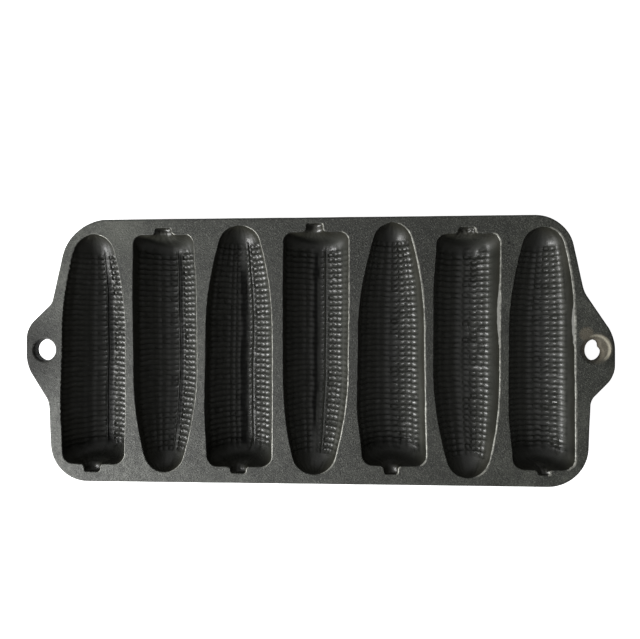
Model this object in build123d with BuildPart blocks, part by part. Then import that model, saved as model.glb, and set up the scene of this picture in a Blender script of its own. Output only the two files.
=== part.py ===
from build123d import *
import os
from math import atan2, cos, degrees, radians, sin, sqrt, tan

# Overall size: the pan lies flat, long side along X, rear edge towards +Y, moulds open upwards
pan_length = 324.0
pan_depth = 147.0
plate_thickness = 4.5
plate_edge_radius = 1.2

# Outline of the plate: the sides lean outwards from the rear corners to the ears
rear_corner_setback = 24.5
front_corner_setback = 13.7
rear_width = pan_length - 2 * rear_corner_setback
front_width = pan_length - 2 * front_corner_setback
rear_side_lean_angle = 12.6
front_side_lean_angle = 1.0
rear_corner_radius = 26.0
front_corner_radius = 24.5

# Ears: each has a steep and a gentle flank, and one ear is the other turned half round
ear_steep_corner_y = 12.6
ear_steep_lean_angle = 45.0
ear_steep_corner_radius = 14.0
ear_steep_root_radius = 3.0
ear_gentle_corner_y = 7.5
ear_gentle_lean_angle = 32.0
ear_gentle_corner_radius = 22.0
ear_gentle_root_radius = 14.0

# Hanging holes through the ears, rounded where they open on top
hole_diameter = 12.4
hole_lip_radius = 1.2
hole_setback = 10.0
hole_y = 0.8

# Moulds: cobs side by side with their axes just above the plate, tips rearwards and forwards by turns
cob_count = 7
outer_mould_setback = 20.0
land_width = 5.1
cob_pitch = (pan_length - 2 * outer_mould_setback + land_width) / cob_count
cob_radius = (cob_pitch - land_width) / 2
cob_axis_rise = 1.4
cob_base_setback = 9.0
cob_tip_setback = 4.5
outer_cob_tip_setback = 8.0
cob_length = pan_depth - cob_base_setback - cob_tip_setback
outer_cob_length = pan_depth - cob_base_setback - outer_cob_tip_setback
cob_taper_length = 58.5
cob_straight_length = cob_length - cob_taper_length
cob_taper_radius = 188.0
cob_base_slope_angle = 25.0
cob_base_corner_radius = 4.2
mould_rim_radius = 0.6

# Iron under the moulds: an even wall, cut flat where the pan stands on it
wall_thickness = 3.7
foot_depth = 0.4
pan_height = cob_radius - cob_axis_rise + wall_thickness - foot_depth

# Kernels: straight rows along each cob, pressed outwards from its smooth surface
kernel_relief = 0.8
kernel_ridge_rise = 0.1
kernel_pitch = 3.1
kernel_row_count = 8
kernel_row_angle = 20.0
kernel_row_gap_angle = 3.5
kernel_base_margin = 11.0
kernel_tip_margin = 9.0

# Stem stub: a short spigot that widens into the base of each cob
stub_length = 4.6
stub_radius = 4.6
stub_end_corner_radius = 1.5
stub_root_radius = 7.5
stub_inner_length = 6.0
stub_inner_radius = 12.0


# Point where two lines cross, each given by a point and a way
def crossing(a, a_way, b, b_way):
    a, a_way, b, b_way = Vector(a), Vector(a_way), Vector(b), Vector(b_way)
    share = (b - a).cross(b_way).Z / a_way.cross(b_way).Z
    return a + a_way * share


# Way that leans from the Y axis towards +X by an angle
def leaning(angle):
    return Vector(sin(radians(angle)), cos(radians(angle)))


# Outline of the plate as corners with their radii, anticlockwise from the rear right corner
def plate_corners():
    ear_x = pan_length / 2
    rear_y = pan_depth / 2
    rear_right = (rear_width / 2, rear_y)
    rear_left = (-rear_width / 2, rear_y)
    front_right = (front_width / 2, -rear_y)
    front_left = (-front_width / 2, -rear_y)
    steep = (ear_steep_corner_y, ear_steep_lean_angle, ear_steep_corner_radius, ear_steep_root_radius)
    gentle = (ear_gentle_corner_y, ear_gentle_lean_angle, ear_gentle_corner_radius, ear_gentle_root_radius)
    left = []
    right = []
    for side, ear, rear_flank, front_flank in ((-1, left, steep, gentle), (1, right, gentle, steep)):
        y, lean, corner_radius, root_radius = rear_flank
        corner = (side * ear_x, y)
        root = crossing(
            corner, leaning(-side * lean), (side * rear_width / 2, rear_y), leaning(-side * rear_side_lean_angle)
        )
        ear += [(root, root_radius), (corner, corner_radius)]
        y, lean, corner_radius, root_radius = front_flank
        corner = (side * ear_x, -y)
        root = crossing(
            corner, leaning(side * lean), (side * front_width / 2, -rear_y), leaning(side * front_side_lean_angle)
        )
        ear += [(corner, corner_radius), (root, root_radius)]
    return (
        [(rear_right, rear_corner_radius), (rear_left, rear_corner_radius)]
        + left
        + [(front_left, front_corner_radius), (front_right, front_corner_radius)]
        + right[::-1]
    )


# Distance from the cob's axis to its smooth surface, on the straight and on the taper
def cob_radius_at(distance):
    tapered = max(distance - cob_straight_length, 0)
    return cob_radius - cob_taper_radius + sqrt(cob_taper_radius**2 - tapered**2)


# Smooth cob along +Y, its axis on the Y axis and its base end at the plate's top at y = 0.
# The nose is a ball centred on the axis that runs into the taper without a corner.
def smooth_cob(length, growth):
    taper_x = cob_radius - cob_taper_radius
    spare = cob_taper_radius - length
    nose_y = (cob_straight_length**2 + taper_x**2 - spare**2) / (2 * (cob_straight_length + spare))
    turn = degrees(atan2(nose_y - cob_straight_length, -taper_x))
    outer = cob_radius + growth
    slope = radians(cob_base_slope_angle)
    base_reach = 2 * outer * tan(slope) + growth
    base_end = Plane(
        origin=(0, -growth / cos(slope), -cob_axis_rise),
        z_dir=(0, cos(slope), sin(slope)),
    )
    with BuildPart() as cob:
        with BuildSketch():
            with BuildLine():
                CenterArc((taper_x, cob_straight_length), cob_taper_radius + growth, 0, turn)
                CenterArc((0, nose_y), length - nose_y + growth, turn, 90 - turn)
                Polyline(
                    (0, length + growth),
                    (0, -base_reach),
                    (outer, -base_reach),
                    (outer, cob_straight_length),
                )
            make_face()
        revolve(axis=Axis.Y)
        split(bisect_by=base_end, keep=Keep.TOP)
        fillet(cob.faces().sort_by(Axis.Y)[0].edges(), radius=cob_base_corner_radius + growth)
    return cob.part


# Stem stub along the same axis, from its outer end to where it is lost in the base of the cob
def stem_stub(growth):
    corner = stub_end_corner_radius
    corner_centre = (stub_radius - corner, corner - stub_length)
    with BuildPart() as stub:
        with BuildSketch():
            with BuildLine():
                end_arc = CenterArc(corner_centre, corner + growth, -90, 90)
                flare = TangentArc(end_arc @ 1, (stub_root_radius + growth, 0), tangent=(0, 1))
                Polyline(
                    flare @ 1,
                    (stub_inner_radius + growth, stub_inner_length),
                    (0, stub_inner_length),
                    (0, -stub_length - growth),
                    end_arc @ 0,
                )
            make_face()
        revolve(axis=Axis.Y)
    return stub.part


# One row of kernels: a thin sector of the cob with a scallop for each kernel
def kernel_row(length):
    first = kernel_base_margin
    last = length - kernel_tip_margin
    count = round((last - first) / kernel_pitch)
    ridges = []
    for k in range(count + 1):
        y = first + (last - first) * k / count
        ridges.append((cob_radius_at(y) + kernel_ridge_rise, y))
    inner = cob_radius_at(last) - kernel_pitch
    with BuildPart() as row:
        with BuildSketch():
            with BuildLine():
                for low, high in zip(ridges[:-1], ridges[1:]):
                    SagittaArc(low, high, kernel_ridge_rise - kernel_relief)
                Polyline(ridges[-1], (inner, last), (inner, first), ridges[0])
            make_face()
        revolve(axis=Axis.Y, revolution_arc=kernel_row_angle - kernel_row_gap_angle)
    return row.part


# Hollow of one mould without its kernels
def smooth_hollow(length):
    with BuildPart() as hollow:
        add(smooth_cob(length, 0))
        add(stem_stub(0))
    return hollow.part


# All the kernels of one mould, row beside row around the lower half of the cob
def kernel_rows(length):
    row = kernel_row(length)
    first_turn = 90 - kernel_row_angle * kernel_row_count / 2 + kernel_row_gap_angle / 2
    with BuildPart() as rows:
        for k in range(kernel_row_count):
            add(row, rotation=(0, first_turn + k * kernel_row_angle, 0))
    return rows.part


# Iron around one mould, from the middle of the plate down
def mould_shell(length):
    with BuildPart() as shell:
        add(smooth_cob(length, wall_thickness))
        add(stem_stub(wall_thickness))
        split(bisect_by=Plane.XY.offset(-cob_axis_rise - plate_thickness / 2), keep=Keep.BOTTOM)
    return shell.part


# Places of the moulds: the first cob has its tip at the rear, the next one at the front, and so on
inner_places = []
outer_places = []
base_y = pan_depth / 2 - cob_base_setback
for k in range(cob_count):
    x = (k - (cob_count - 1) / 2) * cob_pitch
    z = pan_height + cob_axis_rise
    place = Location((x, -base_y, z)) if k % 2 == 0 else Location((x, base_y, z), (0, 0, 180))
    if k in (0, cob_count - 1):
        outer_places.append(place)
    else:
        inner_places.append(place)

# The pan, one casting
with BuildPart() as pan:
    with BuildSketch(Plane.XY.offset(pan_height - plate_thickness)):
        with BuildLine():
            corners = plate_corners()
            FilletPolyline([c for c, r in corners], radius=[r for c, r in corners], close=True)
        make_face()
    extrude(amount=plate_thickness)
    flat_faces = pan.faces().filter_by(Axis.Z)
    fillet(flat_faces.edges(), radius=plate_edge_radius)
    with Locations(*inner_places):
        add(mould_shell(cob_length))
    with Locations(*outer_places):
        add(mould_shell(outer_cob_length))
    split(bisect_by=Plane.XY, keep=Keep.TOP)
    with Locations(*inner_places):
        add(smooth_hollow(cob_length), mode=Mode.SUBTRACT)
    with Locations(*outer_places):
        add(smooth_hollow(outer_cob_length), mode=Mode.SUBTRACT)
    hole_x = pan_length / 2 - hole_setback
    with Locations((-hole_x, hole_y, pan_height), (hole_x, hole_y, pan_height)):
        Hole(hole_diameter / 2, depth=plate_thickness)
    top_face = pan.faces().filter_by(Axis.Z).sort_by(Axis.Z)[-1]
    lips = top_face.inner_wires().sort_by(SortBy.LENGTH)[:2]
    rims = top_face.inner_wires().sort_by(SortBy.LENGTH)[2:]
    fillet(lips.edges(), radius=hole_lip_radius)
    fillet(rims.edges(), radius=mould_rim_radius)
    with Locations(*inner_places):
        add(kernel_rows(cob_length), mode=Mode.SUBTRACT)
    with Locations(*outer_places):
        add(kernel_rows(outer_cob_length), mode=Mode.SUBTRACT)
pan.part.label = "pan_casting"

os.makedirs("parts", exist_ok=True)
export_step(pan.part, "parts/pan_casting.step")
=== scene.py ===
import math

import bmesh
import bpy
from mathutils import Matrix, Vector, noise


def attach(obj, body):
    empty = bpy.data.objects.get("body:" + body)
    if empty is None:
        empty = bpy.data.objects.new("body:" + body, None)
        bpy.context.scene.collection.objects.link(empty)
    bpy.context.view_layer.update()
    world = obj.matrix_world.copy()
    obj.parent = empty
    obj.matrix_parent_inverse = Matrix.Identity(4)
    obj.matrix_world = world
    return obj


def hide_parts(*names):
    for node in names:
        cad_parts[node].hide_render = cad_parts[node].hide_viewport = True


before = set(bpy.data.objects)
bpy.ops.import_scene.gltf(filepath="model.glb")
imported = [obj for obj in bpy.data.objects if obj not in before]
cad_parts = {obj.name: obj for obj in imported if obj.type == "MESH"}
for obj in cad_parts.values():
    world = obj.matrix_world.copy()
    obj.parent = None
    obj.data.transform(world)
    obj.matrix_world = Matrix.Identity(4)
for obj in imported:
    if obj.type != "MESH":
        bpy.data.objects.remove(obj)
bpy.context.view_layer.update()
print("frame in")

# everything is modelled in millimetres and scaled to metres when it becomes an object
mm = 0.001


def smooth(share):
    share = min(max(share, 0), 1)
    return share * share * (3 - 2 * share)


def between(low, high, share):
    return low + (high - low) * share


def roundCorner(bm, vert, radius, parts):
    one, other = [edge.other_vert(vert).co - vert.co for edge in vert.link_edges]
    reach = radius / math.tan(one.angle(other) / 2)
    bmesh.ops.bevel(
        bm, geom=[vert], offset=reach, offset_type="OFFSET", segments=parts,
        profile=0.5, affect="VERTICES", material=-1,
    )


def drawLine(bm, points):
    verts = [bm.verts.new(point) for point in points]
    for one, other in zip(verts, verts[1:]):
        bm.edges.new((one, other))
    return verts


def toObject(bm, name):
    mesh = bpy.data.meshes.new(name)
    bm.to_mesh(mesh)
    bm.free()
    thing = bpy.data.objects.new(name, mesh)
    bpy.context.scene.collection.objects.link(thing)
    return thing


def boolean(target, tool, operation):
    modifier = target.modifiers.new("cut", "BOOLEAN")
    modifier.operation = operation
    modifier.solver = "EXACT"
    modifier.object = tool
    with bpy.context.temp_override(object=target, active_object=target):
        bpy.ops.object.modifier_apply(modifier="cut")
    mesh = tool.data
    bpy.data.objects.remove(tool)
    bpy.data.meshes.remove(mesh)


# flat casting with an ear at each end, corners anticlockwise as x, y and radius
plate = {
    "top": 20, "thickness": 4.5, "edge": 1.2, "edgeParts": 4, "cornerParts": 14, "spacing": 3.5,
    "corners": [
        (136.9, 73.4, 20.5), (-136.4, 73.4, 26),
        (-147.2, 26.6, 6), (-161.9, 12.6, 13), (-161.9, -8.5, 19), (-149.1, -28.8, 12),
        (-147.0, -73.4, 21), (147.0, -73.4, 21.5),
        (149.1, -26.6, 7), (161.9, -13.4, 13), (161.9, 7.5, 21), (145.8, 31.8, 14),
    ],
    "holeY": 0.4,
    # the casting's edge wanders inwards by this much on average
    "wander": 0.1,
    # the right hole is the smaller one, with a broad worn lip and a bit of flash at its upper right
    "holes": {-1: {"x": 151.0, "radius": 6.1, "lip": 1.2}, 1: {"x": 151.1, "radius": 5.6, "lip": 2.4}},
    "flashTurn": 26, "flashSpread": 20, "flashHeight": 1.4, "rightHoleSquash": 0.86,
}

# one cob: the shape that all seven share, lying along its own axis above the plate's top
cob = {
    "axisRise": 1.4, "radius": 18.1, "straight": 75, "taperRadius": 188,
    "baseSlope": 15, "leanStart": 5, "leanEnd": 14, "leanSpread": 4.5,
    "stubCorner": 1.3, "stubFlare": 1.8, "stubWall": 2.8, "wall": 3.7, "wallFlare": 1.5,
    # places along the cob where its edges' strays are given, as shares of its length
    "strayShares": (0.02, 0.25, 0.55, 0.95),
}

# kernels: the rings begin this far from the base, and steps are the mesh rows within one ring;
# a row begins and ends some rings off the mould's first and last ring, and fades over fadeRings
kernel = {
    "start": 6, "steps": (0, 0.13, 0.37, 0.63, 0.87),
    "early": 0.6, "earlyStray": 1.6, "late": 1, "lateStray": 1.5, "fadeRings": 2,
    # sideDrop is how much shallower a kernel is at its row's edges, and depthStray how unlike its
    # neighbours; slip is a share of the pitch, arch is in mm
    "sideDrop": 0.85, "depthStray": 0.6, "slip": 0.15, "arch": 0.5,
}

# unevenness of each mould: rowSwing is in degrees, the rest in mm; it dies away at the poles
wander = {"rowSwing": 1.6, "skin": 0.12, "rings": 0.3, "calmReach": 8, "raggedReach": 3.5, "raggedFade": 3}

# soot, painted shade and bare iron in the moulds: wornFrom, grooveStray and grooveFade are degrees around the cob,
# the other reaches and fades are mm, and blacks go from 0 to 1
marks = {
    "wornFrom": 120, "wornTop": 0.2, "wornStray": 0.5, "wornFade": 0.8,
    "lineBlack": 0.5, "grooveStray": 2, "grooveFade": 3, "grooveBase": 5, "grooveTip": 16,
    "baseReach": 15, "baseFade": 7, "frontBaseBlack": 0.45, "rearBaseBlack": 0.2,
    "tipReach": 15, "tipFade": 6, "tipBlack": 0.25,
}

# the seven moulds, left to right: x and baseY place the middle of the base, way is 1 where the tip
# points to the rear, width is a share of the cob's, pitch is from ring to ring, and rim is how wide
# the rolled edge gets on the right; corner rounds the base, and rough is how ragged the base and
# its stub are; left and right are how far those edges stray towards +X from the true cob;
# bands are rows of kernels from the left rim to the right one, each (angle it ends at, depth, mesh
# columns), where a depth below zero is a ridge; sootAndShade is a black groove of painted shadow
# (from angle, to angle, black), and worn is the bare strip on the right wall (middle, half length, reach down)
moulds = [
    {
        "x": -123.8, "rim": 0.35, "baseY": -63.5, "way": 1, "length": 128.8, "width": 0.985, "pitch": 2.95,
        "left": (0.9, 0, 0.9, 2.3), "right": (0.5, 1.1, 1.1, 0.2), "rough": 0.2, "corner": 5.9,
        "stub": 4.2, "stubRadius": 4.9,
        "bands": [(3, 0, 1), (20, 0.5, 3), (38, 0.55, 4), (56, 0.65, 4), (71, 0.8, 4), (88, 0.8, 4), (92, -0.5, 3),
                  (103, 0.15, 3), (113, 0.9, 4), (124, 1.0, 4), (136, 1.0, 4), (150, 0.4, 3), (180, 0, 4)],
        "sootAndShade": (87, 104, 0.9),
    },
    {
        "x": -83.2, "rim": 0.35, "baseY": 64.4, "way": -1, "length": 132.0, "width": 0.985, "pitch": 3.1,
        "left": (0.8, 0.5, 0.9, 0.7), "right": (-0.8, 0.7, 1.0, -0.3), "rough": 0.5, "corner": 5,
        "stub": 3.7, "stubRadius": 5.1,
        "bands": [(17, 0, 2), (35, 0.6, 4), (52, 0.75, 4), (66, 0.8, 4), (82, 0.85, 4), (97, 0.8, 4), (100, -0.5, 3),
                  (108, 0.15, 3), (119, 1.0, 5), (130, 1.0, 4), (140, 0.95, 4), (150, 0.5, 3), (180, 0, 4)],
        "sootAndShade": (98, 109, 0.9),
    },
    {
        "x": -41.4, "rim": 0.5, "baseY": -64.0, "way": 1, "length": 133.3, "width": 1.01, "pitch": 3.1,
        "left": (0.6, -0.5, 0.2, 1.1), "right": (0.2, 0.5, 0.5, 0.5), "rough": 0.6, "corner": 5.8,
        "stub": 3.6, "stubRadius": 4.7,
        "bands": [(17, 0, 2), (34, 0.6, 4), (50, 0.75, 4), (64, 0.8, 4), (74, 0.85, 4), (84, 0.85, 4), (95, 0.1, 3),
                  (103, 0.5, 3), (107, -0.7, 4), (110, 0.2, 2), (123, 1.0, 5), (137, 1.0, 5), (151, 0.9, 4),
                  (180, 0, 5)],
        "sootAndShade": (82, 97, 0.9),
    },
    {
        "x": 0.9, "rim": 0.6, "baseY": 65.2, "way": -1, "length": 133.1, "width": 1.005, "pitch": 3.1,
        "left": (1.1, 0.8, 0.8, -0.5), "right": (0.6, 0.5, 0, -0.6), "rough": 0.15, "corner": 5,
        "stub": 4.6, "stubRadius": 4.9,
        "bands": [(17, 0, 2), (36, 0.65, 4), (54, 0.8, 4), (70, 0.8, 4), (84, 0.85, 4), (93, 0.1, 3),
                  (103, 0.6, 3), (107, -0.7, 4), (110, 0.2, 1), (121, 1.0, 4), (133, 1.0, 4), (145, 0.95, 4),
                  (148, 0, 1), (168, 0.5, 4), (180, 0, 3)],
        "sootAndShade": (83, 94, 0.9),
    },
    {
        "x": 42.4, "rim": 0.8, "baseY": -62.8, "way": 1, "length": 133.0, "width": 1.0, "pitch": 3.15,
        "left": (2.2, -0.3, 0.4, 2.3), "right": (1.0, 0.4, 0, -0.2), "rough": 0.3, "corner": 5.9,
        "stub": 4.4, "stubRadius": 4.2,
        "bands": [(22, 0, 2), (40, 0.6, 4), (58, 0.8, 4), (76, 0.8, 4), (94, 0.85, 4), (109, 0.95, 4), (123, 1.0, 5),
                  (136, 1.0, 4), (149, 0.9, 4), (180, 0, 5)],
        "sootAndShade": (160, 190, 0.2),
    },
    {
        "x": 83.4, "rim": 0.7, "baseY": 63.6, "way": -1, "length": 132.5, "width": 1.0, "pitch": 3.2,
        "left": (1.9, 0.2, 0, 0.8), "right": (-0.2, -0.5, -0.8, 0), "rough": 1.1, "corner": 5.8,
        "stub": 3.3, "stubRadius": 4.9,
        "bands": [(19, 0, 2), (38, 0.6, 4), (56, 0.75, 4), (75, 0.8, 4), (93, 0.85, 4), (96, 0, 1), (110, 0.95, 4),
                  (124, 1.0, 4), (138, 1.0, 4), (149, 0.6, 3), (163, 0, 2), (180, 0, 9)],
        "sootAndShade": (151, 190, 0.5), "worn": (20, 23, 2.7),
    },
    {
        "x": 124.0, "rim": 0.95, "baseY": -64.1, "way": 1, "length": 131.0, "width": 0.98, "pitch": 2.95,
        "left": (1.3, -0.8, -0.5, 0.8), "right": (-1.1, -1.1, -1.3, -0.6), "rough": 1.1, "corner": 5.9,
        "stub": 2.7, "stubRadius": 3.6,
        "bands": [(17, 0, 2), (37, 0.55, 4), (57, 0.7, 4), (77, 0.75, 4), (95, 0.8, 4), (110, 0.9, 4),
                  (125, 0.95, 4), (140, 0.95, 4), (154, 0.4, 3), (164, 0, 2), (180, 0, 9)],
        "sootAndShade": (152, 190, 0.5), "worn": (14, 16, 2.2),
    },
]


def drawCob(bm, mould, growth, fine):
    # half outline from the stub's end to the tip, axis along y and radius along -x
    length = mould["length"]
    radius = cob["radius"] * mould["width"]
    straight, bend = cob["straight"], cob["taperRadius"]
    bendX = radius - bend
    spare = bend - length
    noseY = (straight ** 2 + bendX ** 2 - spare ** 2) / (2 * (straight + spare))
    turn = math.atan2(noseY - straight, -bendX)
    noseRadius = length - noseY + growth
    back = growth / math.cos(math.radians(cob["baseSlope"]))
    lastY = noseY + noseRadius * math.sin(turn)
    stubY = -mould["stub"] - min(growth, cob["stubWall"])
    stubX = -mould["stubRadius"] - growth
    verts = drawLine(bm, [
        (0, stubY, 0), (stubX, stubY, 0), (stubX, -back, 0), (-radius - growth, -back, 0),
        (-radius - growth, kernel["start"], 0), (-radius - growth, lastY, 0),
    ])
    roundCorner(bm, verts[1], cob["stubCorner"] + growth * 0.7, 4 if fine else 3)
    roundCorner(bm, verts[2], cob["stubFlare"] if fine else cob["wallFlare"], 5 if fine else 3)
    roundCorner(bm, verts[3], mould["corner"] + growth, 7 if fine else 5)
    before, after = sorted(verts[4].link_edges, key=lambda edge: sum(v.co.y for v in edge.verts))
    rings = round((lastY - kernel["start"]) / mould["pitch"])
    pitch = (lastY - kernel["start"]) / rings
    parts = len(kernel["steps"])
    bmesh.ops.subdivide_edges(bm, edges=[before], cuts=8 if fine else 2)
    bmesh.ops.subdivide_edges(bm, edges=[after], cuts=rings * parts - 1 if fine else 24)
    if fine:
        # the long flats of the base and stub get points to be ragged with
        low = [edge for edge in bm.edges if max(v.co.y for v in edge.verts) < 0.001]
        bmesh.ops.subdivide_edges(bm, edges=[edge for edge in low if edge.calc_length() > 3], cuts=5)
    along = sorted((v for v in bm.verts if v.co.y > kernel["start"] - 0.001), key=lambda v: v.co.y)
    for place, vert in enumerate(along):
        if fine:
            vert.co.y = kernel["start"] + pitch * (place // parts + kernel["steps"][place % parts])
        past = max(vert.co.y - straight, 0)
        vert.co.x = bend - radius - math.sqrt((bend + growth) ** 2 - past ** 2)
    bmesh.ops.spin(
        bm, geom=[along[-1]], cent=(0, noseY, 0), axis=(0, 0, -1), dvec=(0, 0, 0),
        angle=math.pi / 2 - turn, steps=15 if fine else 8,
    )
    return pitch, rings


def leanBase(mould, point, depth, growth):
    # the base slopes inwards as it goes down, but the stub stays square
    x, y, z = point
    reach = math.hypot(x, z)
    past = 1 - (y - cob["leanStart"]) / (cob["leanEnd"] - cob["leanStart"])
    share = smooth(past) * smooth((reach - mould["stubRadius"] - growth) / cob["leanSpread"])
    return max(depth, 0) * math.tan(math.radians(cob["baseSlope"])) * share


def ironWall(mould):
    # outside of one mould, closed, its top hidden inside the plate
    bm = bmesh.new()
    growth = cob["wall"]
    drawCob(bm, mould, growth, False)
    bmesh.ops.spin(
        bm, geom=bm.verts[:] + bm.edges[:], cent=(0, 0, 0), axis=(0, -1, 0), dvec=(0, 0, 0),
        angle=math.pi, steps=26,
    )
    bmesh.ops.remove_doubles(bm, verts=bm.verts, dist=0.01)
    axisZ = plate["top"] + cob["axisRise"]
    for vert in bm.verts:
        x, y, z = vert.co
        y += leanBase(mould, vert.co, -z - cob["axisRise"], growth)
        vert.co = (mould["x"] + x, mould["baseY"] + mould["way"] * y, axisZ + z)
    for height, up in ((plate["top"] - plate["thickness"] / 2, 1), (0, -1)):
        cut = bmesh.ops.bisect_plane(
            bm, geom=bm.verts[:] + bm.edges[:] + bm.faces[:], dist=0.001, plane_co=(0, 0, height),
            plane_no=(0, 0, up), clear_outer=True,
        )
        edges = [e for e in cut["geom_cut"] if isinstance(e, bmesh.types.BMEdge)]
        bmesh.ops.edgeloop_fill(bm, edges=edges)
    bmesh.ops.recalc_face_normals(bm, faces=bm.faces)
    return toObject(bm, "wall")


def stray(mould, side, share):
    # how far the left or right edge strays at a share of the cob's length
    shares, shifts = cob["strayShares"], mould[side]
    for k in range(1, len(shares)):
        if share < shares[k] or k == len(shares) - 1:
            past = (share - shares[k - 1]) / (shares[k] - shares[k - 1])
            return between(shifts[k - 1], shifts[k], smooth(past))


def kernelAt(mould, y, angle, pitch, rings):
    # how deep a point is pressed into its kernel and how far it lies off along the row, in mm,
    # and how much of a line between kernels it is, 0 to 1
    start = 0
    for row, (end, depth, columns) in enumerate(mould["bands"]):
        if angle <= end:
            break
        start = end
    across = (angle - start) / (end - start)
    place = (y - kernel["start"]) / pitch
    if not 0 < place < rings:
        return 0, 0, 0
    # each row begins and ends at a place of its own, and fades in
    first = kernel["earlyStray"] * noise.noise((row * 3.3, mould["x"], 21)) - kernel["early"]
    last = rings + kernel["late"] + kernel["lateStray"] * noise.noise((row * 3.3, mould["x"], 34))
    fade = smooth(min(place - first, last - place) / kernel["fadeRings"])
    if depth <= 0:
        return depth * (1 - abs(2 * across - 1) ** 2) * fade, 0, 0
    middle = 1 - kernel["sideDrop"] * abs(2 * across - 1) ** 4
    ring = math.floor(place)
    uneven = 1 + kernel["depthStray"] * noise.noise((ring * 3.7, row * 5.3, mould["x"]))
    slip = kernel["slip"] * noise.noise((row * 4.1, mould["x"], 3)) * pitch
    slip += kernel["arch"] * noise.noise((ring * 0.9, row * 7.7, 5))
    valley = abs(2 * (place - ring) - 1) ** 2
    line = min(depth + 0.2, 1) * fade * min(valley + 0.45 * (1 - middle), 1)
    return depth * (1 - valley) * middle * uneven * fade, slip * middle * fade, line


def wearAt(mould, y, angle, down):
    # bright bare strip from the rim down the right wall, longest in its middle
    if "worn" not in mould or angle < marks["wornFrom"]:
        return 0
    middle, half, reach = mould["worn"]
    off = abs(y - middle) / half
    edge = marks["wornTop"] + reach * smooth(1.1 * (1 - off)) + marks["wornStray"] * noise.noise((y * 0.35, 0, 9))
    return smooth((edge - down) / marks["wornFade"] + 0.5)


def sootAndShadeAt(mould, y, angle, line):
    # black in the lines between the kernels, partly soot and partly painted shade in the creases, and painted shadow
    # in a broad groove beside the ridge
    start, end, black = mould["sootAndShade"]
    start += marks["grooveStray"] * noise.noise((y * 0.12, mould["x"], 1))
    end += marks["grooveStray"] * noise.noise((y * 0.12, mould["x"], 6))
    reach = smooth((y - marks["grooveBase"]) / 8) * smooth((mould["length"] - marks["grooveTip"] - y) / 12)
    groove = smooth((angle - start) / marks["grooveFade"]) * smooth((end - angle) / marks["grooveFade"]) * reach
    # the ends are dull and darker too, most of all the base ends at the front, which face away from the window:
    # painted shade
    baseBlack = marks["frontBaseBlack"] if mould["way"] > 0 else marks["rearBaseBlack"]
    base = smooth((marks["baseReach"] - y) / marks["baseFade"]) * baseBlack
    tip = marks["tipBlack"] * smooth((y - mould["length"] + marks["tipReach"]) / marks["tipFade"])
    return min(marks["lineBlack"] * line + black * groove + base + tip, 1)


def castMould(mould):
    bm = bmesh.new()
    pitch, rings = drawCob(bm, mould, 0, True)
    # angles of the mesh's columns, from the left rim under the cob to the right one
    knots = [0]
    for end, depth, columns in mould["bands"]:
        start = knots[-1]
        knots += [between(start, end, (k + 1) / columns) for k in range(columns)]
    steps = len(knots) - 1
    bmesh.ops.spin(
        bm, geom=bm.verts[:] + bm.edges[:], cent=(0, 0, 0), axis=(0, -1, 0), dvec=(0, 0, 0),
        angle=math.pi, steps=steps,
    )
    bmesh.ops.remove_doubles(bm, verts=bm.verts, dist=0.001)
    wornLayer = bm.verts.layers.float.new("worn")
    sootAndShadeLayer = bm.verts.layers.float.new("sootAndShade")
    axisZ = plate["top"] + cob["axisRise"]
    for vert in bm.verts:
        x, y, z = vert.co
        reach = math.hypot(x, z)
        angle = 0
        if reach > 0.01:
            angle = knots[round(abs(math.atan2(-z, -x)) / math.pi * steps)]
        swing = wander["rowSwing"] * noise.noise((y * 0.045, angle * 0.03, mould["x"]))
        turn = math.radians(angle + swing * math.sin(math.radians(angle)))
        x, z = -reach * math.cos(turn), -reach * math.sin(turn)
        y += leanBase(mould, (x, y, z), -z - cob["axisRise"], 0)
        # near the poles all unevenness dies away
        calm = smooth(reach / wander["calmReach"])
        out, slip, line = kernelAt(mould, y, angle, pitch, rings)
        vert[sootAndShadeLayer] = sootAndShadeAt(mould, y, angle, line)
        spot = Vector((x, y, z + mould["x"]))
        ragged = mould["rough"] * smooth((wander["raggedReach"] - y) / wander["raggedFade"])
        out += wander["skin"] * noise.noise(spot * 0.22)
        out += ragged * noise.noise(spot * 0.55)
        if reach > 2:
            x, z = x * (1 + calm * out / reach), z * (1 + calm * out / reach)
        y += calm * (slip + wander["rings"] * noise.noise((y * 0.13, angle * 0.11, mould["x"] + 40)))
        # the edges stray with the mould, but the stub stays where it is
        share = max(y, 0) / mould["length"]
        free = max(smooth((y - 4) / 6), smooth((reach - mould["stubRadius"] - 0.3) / 5))
        x += free * between(stray(mould, "left", share), stray(mould, "right", share), (1 - math.cos(turn)) / 2)
        spotY = mould["baseY"] + mould["way"] * y
        vert.co = (mould["x"] + x, spotY, axisZ + z)
        vert[wornLayer] = wearAt(mould, spotY, angle, -z - cob["axisRise"])
    for face in bm.faces:
        face.material_index = 1
    rollRim(bm, mould)
    return bm


# rolled edge where each mould opens on the plate, bare along its right side, which faces the window, so the pale
# iron there is partly painted highlight
rim = {"drop": 0.5, "width": 0.4, "parts": 3}


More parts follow.
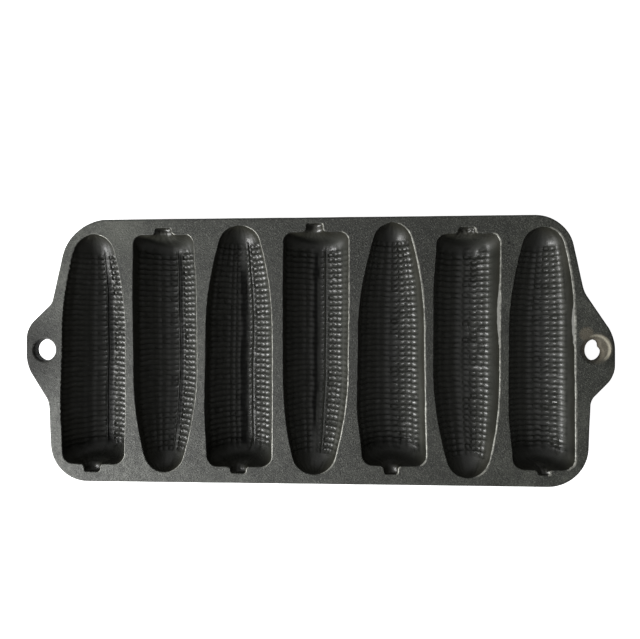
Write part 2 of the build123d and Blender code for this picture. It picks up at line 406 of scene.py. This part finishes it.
def rollRim(bm, mould):
    bmesh.ops.bisect_plane(
        bm, geom=bm.verts[:] + bm.edges[:] + bm.faces[:], dist=0.001,
        plane_co=(0, 0, plate["top"] - rim["drop"]), plane_no=(0, 0, 1), clear_outer=True,
    )
    # sorted, because the mesh's own order changes from run to run and decides which of them merge
    rimVerts = [v for v in bm.verts if any(edge.is_boundary for edge in v.link_edges)]
    rimVerts.sort(key=lambda v: v.co[:])
    bmesh.ops.remove_doubles(bm, verts=rimVerts, dist=0.12)
    edges = [edge for edge in bm.edges if edge.is_boundary]
    # each rim vertex with its spot and the way outwards over the plate, evened out with its neighbours
    start = {}
    for vert in {v for edge in edges for v in edge.verts}:
        one, other = [e.other_vert(vert).co for e in vert.link_edges if e.is_boundary]
        along = other - one
        outward = Vector((along.y, -along.x, 0)).normalized()
        reach = (vert.co.y - mould["baseY"]) * mould["way"]
        inside = min(max(reach, 6), mould["length"] - 14)
        centre = Vector((mould["x"], mould["baseY"] + mould["way"] * inside, vert.co.z))
        if outward.dot(vert.co - centre) < 0:
            outward.negate()
        start[vert] = (vert.co.copy(), outward)
    for k in range(3):
        calmer = {}
        for vert, (spot, outward) in start.items():
            beside = [e.other_vert(vert) for e in vert.link_edges if e.is_boundary]
            calmer[vert] = (spot, (outward + sum((start[v][1] for v in beside), Vector())).normalized())
        start = calmer
    for part in range(1, rim["parts"] + 1):
        turn = math.pi / 2 * part / rim["parts"]
        made = bmesh.ops.extrude_edge_only(bm, edges=edges)["geom"]
        edges = [e for e in made if isinstance(e, bmesh.types.BMEdge) and e.is_boundary]
        faces = [f for f in made if isinstance(f, bmesh.types.BMFace)]
        following = {}
        for vert in {v for edge in edges for v in edge.verts}:
            old = next(e.other_vert(vert) for e in vert.link_edges if e.other_vert(vert) in start)
            spot, outward = start[old]
            uneven = 1 + 0.5 * noise.noise((spot.y * 0.25, mould["x"], 2))
            width = between(rim["width"], mould["rim"], smooth(outward.x))
            vert.co = spot + outward * width * uneven * (1 - math.cos(turn))
            vert.co.z += rim["drop"] * math.sin(turn)
            following[vert] = (spot, outward)
        for face in faces:
            outward = sum((following[v][1] for v in face.verts if v in following), Vector())
            # partly painted highlight: only the right rims, whose faces slope towards the window, get the pale bare
            # iron
            face.material_index = 2 if outward.x > 0.7 else 0
        start = following


def makePlate():
    bm = bmesh.new()
    verts = [bm.verts.new((x, y, plate["top"] - plate["thickness"])) for x, y, radius in plate["corners"]]
    bm.faces.new(verts)
    for vert, (x, y, radius) in zip(verts, plate["corners"]):
        roundCorner(bm, vert, radius, plate["cornerParts"])
    for edge in bm.edges[:]:
        cuts = int(edge.calc_length() / plate["spacing"])
        if cuts:
            bmesh.ops.subdivide_edges(bm, edges=[edge], cuts=cuts)
    for vert in bm.verts:
        shrink = plate["wander"] + plate["wander"] * noise.noise(vert.co * 0.09)
        vert.co -= Vector((vert.co.x, vert.co.y, 0)).normalized() * shrink
    up = bmesh.ops.extrude_face_region(bm, geom=bm.faces[:])["geom"]
    bmesh.ops.translate(
        bm, vec=(0, 0, plate["thickness"]), verts=[v for v in up if isinstance(v, bmesh.types.BMVert)]
    )
    level = [e for e in bm.edges if abs(e.verts[0].co.z - e.verts[1].co.z) < 0.01]
    bmesh.ops.bevel(
        bm, geom=level, offset=plate["edge"], offset_type="OFFSET", segments=plate["edgeParts"],
        profile=0.5, affect="EDGES", material=-1,
    )
    bmesh.ops.recalc_face_normals(bm, faces=bm.faces)
    return toObject(bm, "plate")


def holeCutter(side):
    # pin with a flared head, so the hole gets a rounded lip on top
    bm = bmesh.new()
    lip, radius = plate["holes"][side]["lip"], plate["holes"][side]["radius"]
    top = plate["top"]
    verts = drawLine(bm, [
        (0, 0, top - 8), (radius, 0, top - 8), (radius, 0, top - lip), (radius + lip, 0, top),
        (radius + lip, 0, top + 3), (0, 0, top + 3),
    ])
    flare = next(edge for edge in verts[2].link_edges if verts[3] in edge.verts)
    bmesh.ops.subdivide_edges(bm, edges=[flare], cuts=4)
    for vert in bm.verts:
        if top - lip < vert.co.z < top:
            down = top - vert.co.z
            vert.co.x = radius + lip - math.sqrt(lip ** 2 - (lip - down) ** 2)
    bmesh.ops.spin(
        bm, geom=bm.verts[:] + bm.edges[:], cent=(0, 0, 0), axis=(0, 0, 1), dvec=(0, 0, 0),
        angle=math.tau, steps=64, use_merge=True,
    )
    bmesh.ops.remove_doubles(bm, verts=bm.verts, dist=0.001)
    for vert in bm.verts:
        x, y, z = vert.co
        if side > 0 and math.hypot(x, y) > 1 and z < top - 0.5:
            off = (math.degrees(math.atan2(y, x)) - plate["flashTurn"]) / plate["flashSpread"]
            share = plate["flashHeight"] * math.exp(-off * off) / radius
            vert.co = (x * plate["rightHoleSquash"] * (1 - share), y * (1 - share), z)
    bmesh.ops.translate(bm, vec=(side * plate["holes"][side]["x"], plate["holeY"], 0), verts=bm.verts)
    bmesh.ops.recalc_face_normals(bm, faces=bm.faces)
    return toObject(bm, "pin")


def openLoops(bm):
    # edges with one face, gathered into their loops
    edges = [edge for edge in bm.edges if edge.is_boundary]
    left = set(edges)
    loops = []
    for first in edges:
        reached = [first] if first in left else []
        left.discard(first)
        loop = []
        while reached:
            edge = reached.pop()
            loop.append(edge)
            for other in [e for vert in edge.verts for e in vert.link_edges if e in left]:
                left.discard(other)
                reached.append(other)
        if loop:
            loops.append(loop)
    return loops


def fillTop(bm):
    # the outline, holes and moulds are joined ear to ear by short edges, which leaves two plain faces
    crossings = []
    rear = []
    for loop in openLoops(bm):
        verts = {vert for edge in loop for vert in edge.verts}
        middle = (min(v.co.x for v in verts) + max(v.co.x for v in verts)) / 2
        ends = []
        for side in (-1, 1):
            beside = [v for v in verts if (v.co.x - middle) * side > 0]
            ends.append(min(beside, key=lambda v: abs(v.co.y - plate["holeY"])))
        crossings += ends
        for edge in loop:
            centre = (edge.verts[0].co + edge.verts[1].co) / 2
            if centre.y > ends[centre.x > middle].co.y:
                rear.append(edge)
    crossings.sort(key=lambda v: v.co.x)
    behind = set(rear)
    front = [edge for edge in bm.edges if edge.is_boundary and edge not in behind]
    joins = [bm.edges.new(pair) for pair in zip(crossings[0::2], crossings[1::2])]
    for half in (rear, front):
        made = bmesh.ops.contextual_create(bm, geom=half + joins)["faces"]
        bmesh.ops.triangulate(bm, faces=made, quad_method="BEAUTY", ngon_method="BEAUTY")


body = makePlate()
for mould in moulds:
    boolean(body, ironWall(mould), "UNION")
for side in (-1, 1):
    boolean(body, holeCutter(side), "DIFFERENCE")
print("plate, walls and holes")

# the moulds are let into the plate by filling its top again between all the open edges
bm = bmesh.new()
for name in ("worn", "sootAndShade"):
    bm.verts.layers.float.new(name)
bm.from_mesh(body.data)
bpy.data.objects.remove(body)
topFaces = [f for f in bm.faces if all(v.co.z > plate["top"] - 0.01 for v in f.verts)]
bmesh.ops.delete(bm, geom=topFaces, context="FACES")
for mould in moulds:
    piece = castMould(mould)
    spare = bpy.data.meshes.new("spare")
    piece.to_mesh(spare)
    piece.free()
    bm.from_mesh(spare)
    bpy.data.meshes.remove(spare)
print("moulds")

edges = [edge for edge in bm.edges if edge.is_boundary]
for vert in {v for edge in edges for v in edge.verts}:
    vert.co.z = plate["top"]
fillTop(bm)
bmesh.ops.recalc_face_normals(bm, faces=bm.faces)
# the plate's level faces stay flat, and edges that turn by more than sharpFrom degrees stay sharp
sharpFrom = 38
for face in bm.faces:
    zs = [v.co.z for v in face.verts]
    face.smooth = max(zs) - min(zs) > 0.0005
for edge in bm.edges:
    edge.smooth = edge.calc_face_angle(0) < math.radians(sharpFrom)
gaps = sum(1 for edge in bm.edges if not edge.is_manifold)
bmesh.ops.triangulate(bm, faces=[f for f in bm.faces if len(f.verts) > 4])
print("open edges", gaps, "triangles", sum(len(f.verts) - 2 for f in bm.faces))
bmesh.ops.scale(bm, vec=(mm, mm, mm), verts=bm.verts)
pan = toObject(bm, "panCasting")
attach(pan, "root")
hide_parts("pan_casting")
print("pan in one piece")


def colour(text):
    # sRGB hex to the linear values that the nodes take
    parts = [int(text[k:k + 2], 16) / 255 for k in (1, 3, 5)]
    return [c / 12.92 if c <= 0.04045 else ((c + 0.055) / 1.055) ** 2.4 for c in parts] + [1]


def addNode(tree, kind, values=None, links=None, **settings):
    made = tree.nodes.new(kind)
    for name, value in settings.items():
        setattr(made, name, value)
    for name, value in (values or {}).items():
        made.inputs[name].default_value = value
    for name, socket in (links or {}).items():
        tree.links.new(socket, made.inputs[name])
    return made


def newMaterial(name):
    material = bpy.data.materials.new(name)
    material.use_nodes = True
    return material, material.node_tree, material.node_tree.nodes["Principled BSDF"]


def grain(tree, place, size, detail, rough=0.5):
    # noise whose features are about size millimetres across
    return addNode(
        tree, "ShaderNodeTexNoise", values={"Scale": 1 / (size * mm), "Detail": detail, "Roughness": rough},
        links={"Vector": place.outputs["Object"]},
    )


def mixColours(tree, factor, one, other):
    mixed = addNode(tree, "ShaderNodeMix", data_type="RGBA")
    for index, value in ((0, factor), (6, one), (7, other)):
        if hasattr(value, "is_output"):
            tree.links.new(value, mixed.inputs[index])
        else:
            mixed.inputs[index].default_value = value
    return mixed.outputs[2]


def spread(tree, source, low, high, toLow=0, toHigh=1):
    return addNode(
        tree, "ShaderNodeMapRange", values={1: low, 2: high, 3: toLow, 4: toHigh}, links={0: source}
    ).outputs[0]


def spots(tree, place, marked, soft):
    # 1 in round spots on the plate's top, each (x, y, radius) in mm, fading over a share of the radius
    total = None
    for x, y, radius in marked:
        off = addNode(
            tree, "ShaderNodeVectorMath", operation="DISTANCE",
            values={1: (x * mm, y * mm, plate["top"] * mm)}, links={0: place.outputs["Object"]},
        ).outputs["Value"]
        inside = spread(tree, off, radius * mm, radius * (1 - soft) * mm)
        if total:
            inside = addNode(tree, "ShaderNodeMath", operation="MAXIMUM", links={0: total, 1: inside}).outputs[0]
        total = inside
    return total


def lint(tree, place, gap, size):
    # rare light specks of dust, size mm across and about gap mm apart
    cells = addNode(
        tree, "ShaderNodeTexVoronoi", values={"Scale": 1 / (gap * mm)}, links={"Vector": place.outputs["Object"]},
    )
    return spread(tree, cells.outputs["Distance"], size / gap / 2, size / gap / 3)


# sand-cast iron under dry old seasoning: pebbled grey face, dull, a little brown in patches
castIron, tree, shader = newMaterial("sandCastIron")
place = addNode(tree, "ShaderNodeTexCoord")
patches = grain(tree, place, 14, 3)
blotches = grain(tree, place, 3.2, 3, 0.6)
specks = grain(tree, place, 0.6, 3, 0.7)
tone = mixColours(tree, spread(tree, patches.outputs["Fac"], 0.35, 0.65), colour("#4b4d46"), colour("#31332d"))
# painted shade: darker around the middle of the plate and a little to its right and rear, standing in for the
# window's light falling off; the plate is also drier and paler at its rear left corner
paintedFalloffShade = spots(tree, place, [(25, 25, 150)], 0.8)
tone = mixColours(tree, spread(tree, paintedFalloffShade, 0, 1, 0, 0.9), tone, colour("#23241f"))
tone = mixColours(tree, spread(tree, blotches.outputs["Fac"], 0.42, 0.66, 0, 0.6), tone, colour("#262724"))
tone = mixColours(tree, spread(tree, specks.outputs["Fac"], 0.5, 0.7, 0, 0.85), tone, colour("#151614"))
tone = mixColours(tree, spread(tree, specks.outputs["Fac"], 0.46, 0.3, 0, 0.8), tone, colour("#6f706a"))
pale = spots(tree, place, [(-107, 66, 17), (-93, 40, 7)], 0.9)
tone = mixColours(tree, spread(tree, pale, 0, 1, 0, 0.45), tone, colour("#5f6159"))
# the ears are darker and less glossy, the right one with a brown stain around its hole
earSpots = spots(tree, place, [(-163, -2, 34), (166, 0, 15)], 0.7)
tone = mixColours(tree, spread(tree, earSpots, 0, 1, 0, 0.85), tone, colour("#1c1c1a"))
tree.links.new(spread(tree, earSpots, 0, 1, 0.5, 0.22), shader.inputs["Specular IOR Level"])
stained = spots(tree, place, [(151.8, 1.4, 9), (146.5, 9, 4.5)], 0.7)
tone = mixColours(tree, spread(tree, stained, 0, 0.5, 0, 0.7), tone, colour("#625c4f"))
# painted highlight: a pale crescent at the upper right of that hole's lip, on the slope that faces the window
ring = spots(tree, place, [(151.9, 1.3, 7.9)], 0.15)
inner = spots(tree, place, [(150.9, 0.7, 7.9)], 0.15)
crescent = addNode(tree, "ShaderNodeMath", operation="SUBTRACT", links={0: ring, 1: inner}, use_clamp=True)
tone = mixColours(tree, spread(tree, crescent.outputs[0], 0, 0.7, 0, 0.8), tone, colour("#a8a392"))
# painted shade: two dark spots between the last two moulds stand in for the shade inside pits that are not modelled
pits = spots(tree, place, [(105.7, 58.3, 1.1), (108, 57.2, 0.6)], 0.5)
tone = mixColours(tree, pits, tone, colour("#0e0e0d"))
tone = mixColours(tree, lint(tree, place, 8, 0.5), tone, colour("#7d7d77"))
tree.links.new(tone, shader.inputs["Base Color"])
tree.links.new(spread(tree, blotches.outputs["Fac"], 0.3, 0.7, 0.52, 0.68), shader.inputs["Roughness"])
pebbles = addNode(
    tree, "ShaderNodeBump", values={"Strength": 1, "Distance": 0.5 * mm},
    links={"Height": grain(tree, place, 1.0, 5, 0.75).outputs["Fac"]},
)
tree.links.new(pebbles.outputs["Normal"], shader.inputs["Normal"])

# iron under baked-on oil: nearly black, satin, so that the kernels catch small lights;
# where the float attribute "worn" is 1 the oil is rubbed off and the iron shows pale, and "sootAndShade"
# draws the black lines between the kernels, partly soot and partly painted shade, and painted shadow in a groove and
# at the mould ends
seasonedIron, tree, shader = newMaterial("seasonedIron")
place = addNode(tree, "ShaderNodeTexCoord")
patches = grain(tree, place, 9, 3)
specks = grain(tree, place, 0.9, 3, 0.6)
tone = mixColours(tree, patches.outputs["Fac"], colour("#2b2c29"), colour("#3a3b35"))
axes = addNode(tree, "ShaderNodeSeparateXYZ", links={0: place.outputs["Object"]})
# old oil is browner high on the walls
high = spread(tree, axes.outputs["Z"], 11 * mm, 17 * mm)
tone = mixColours(tree, spread(tree, high, 0, 1, 0, 0.75), tone, colour("#24231a"))
tone = mixColours(tree, lint(tree, place, 8, 0.5), tone, colour("#77776f"))
# soot and painted shade: this attribute darkens the colour nearly to black in the kernel lines, the groove and the
# ends
black = addNode(tree, "ShaderNodeAttribute", attribute_name="sootAndShade").outputs["Fac"]
tone = mixColours(tree, black, tone, colour("#0e0f0d"))
worn = addNode(tree, "ShaderNodeAttribute", attribute_name="worn").outputs["Fac"]
rubbed = addNode(tree, "ShaderNodeMath", operation="MULTIPLY_ADD", links={0: specks.outputs["Fac"], 2: worn})
rubbed.inputs[1].default_value = 0.5
bare = spread(tree, rubbed.outputs[0], 0.55, 0.85)
tone = mixColours(tree, bare, tone, colour("#747470"))
tree.links.new(tone, shader.inputs["Base Color"])
tree.links.new(spread(tree, patches.outputs["Fac"], 0.3, 0.7, 0.4, 0.52), shader.inputs["Roughness"])
# the film of oil is thicker in the moulds on the right, and it is dull where sootAndShade is black
film = spread(tree, axes.outputs["X"], -120 * mm, 120 * mm, 0.4, 0.8)
dull = spread(tree, black, 0, 1, 1, 0.1)
coat = addNode(tree, "ShaderNodeMath", operation="MULTIPLY", links={0: film, 1: dull})
tree.links.new(coat.outputs[0], shader.inputs["Coat Weight"])
tree.links.new(spread(tree, black, 0, 1, 0.5, 0.1), shader.inputs["Specular IOR Level"])
shader.inputs["Coat Roughness"].default_value = 0.33
shader.inputs["Coat IOR"].default_value = 1.48
pores = addNode(
    tree, "ShaderNodeBump", values={"Strength": 1, "Distance": 0.16 * mm}, links={"Height": specks.outputs["Fac"]},
)
tree.links.new(pores.outputs["Normal"], shader.inputs["Normal"])

# edge rubbed back to bare iron by use: pale grey line, put only on the right rims that face the window, so it is
# partly wear and partly painted highlight
wornIronAndHighlight, tree, shader = newMaterial("wornIronAndHighlight")
place = addNode(tree, "ShaderNodeTexCoord")
chips = grain(tree, place, 1.6, 3, 0.6)
tone = mixColours(tree, spread(tree, chips.outputs["Fac"], 0.35, 0.65), colour("#4a4a45"), colour("#8a8a83"))
tree.links.new(tone, shader.inputs["Base Color"])
shader.inputs["Metallic"].default_value = 0.3
shader.inputs["Roughness"].default_value = 0.45

for material in (castIron, seasonedIron, wornIronAndHighlight):
    pan.data.materials.append(material)
print("materials")

# places and sizes in metres: a window-like soft light low on the left and a little in front, in a
# room that is bright on the window's side and dark on the other, and a camera close above the pan
studio = {
    "windowSize": 0.28, "windowEnergy": 9.5, "windowPlace": (-0.6, -0.28, 0.325), "windowAim": (0, 0, 0.02),
    "roomBright": 0.85, "roomDark": 0.03, "floorSize": 6,
    "lens": 25, "cameraPlace": (0.0136, 0.0171, 0.263), "cameraTurn": (0, 0.040, -0.002),
}

# pale studio floor; seen by the camera it's lifted to white, and keeps the pan's shadow
bpy.ops.mesh.primitive_plane_add(size=studio["floorSize"], location=(0, 0, 0))
floor = bpy.context.object
floor.name = "floor"
floorPaint, tree, shader = newMaterial("floorPaint")
shader.inputs["Base Color"].default_value = colour("#e6e6e6")
shader.inputs["Roughness"].default_value = 0.9
seen = addNode(tree, "ShaderNodeLightPath").outputs["Is Camera Ray"]
lift = addNode(
    tree, "ShaderNodeEmission", values={"Color": (1, 1, 1, 1)}, links={"Strength": spread(tree, seen, 0, 1, 0, 0.9)},
)
both = addNode(tree, "ShaderNodeAddShader", links={0: shader.outputs[0], 1: lift.outputs[0]})
tree.links.new(both.outputs[0], tree.nodes["Material Output"].inputs["Surface"])
floor.data.materials.append(floorPaint)

world = bpy.data.worlds.new("studio")
bpy.context.scene.world = world
world.use_nodes = True
tree = world.node_tree
seen = addNode(tree, "ShaderNodeLightPath").outputs["Is Camera Ray"]
sky = tree.nodes["Background"]
sky.inputs["Color"].default_value = (1, 1, 1, 1)
outwards = addNode(tree, "ShaderNodeTexCoord").outputs["Generated"]
axes = addNode(tree, "ShaderNodeSeparateXYZ", links={0: outwards})
room = spread(tree, axes.outputs["X"], -0.9, 0.6, studio["roomBright"], studio["roomDark"])
light = addNode(tree, "ShaderNodeMix", data_type="FLOAT", links={"Factor": seen})
tree.links.new(room, light.inputs[2])
light.inputs[3].default_value = 1
tree.links.new(light.outputs[0], sky.inputs["Strength"])

lamp = bpy.data.lights.new("window", "AREA")
lamp.shape = "RECTANGLE"
lamp.size, lamp.size_y = studio["windowSize"], studio["windowSize"]
lamp.energy = studio["windowEnergy"]
window = bpy.data.objects.new("window", lamp)
window.location = studio["windowPlace"]
window.rotation_euler = (Vector(studio["windowAim"]) - window.location).to_track_quat("-Z", "Y").to_euler()
bpy.context.scene.collection.objects.link(window)

lens = bpy.data.cameras.new("camera")
lens.lens = studio["lens"]
lens.sensor_width = 36
lens.clip_start = 0.01
camera = bpy.data.objects.new("camera", lens)
camera.location = studio["cameraPlace"]
camera.rotation_euler = studio["cameraTurn"]
bpy.context.scene.collection.objects.link(camera)
bpy.context.scene.camera = camera
bpy.context.scene.view_settings.view_transform = "Standard"
print("floor, light and camera")
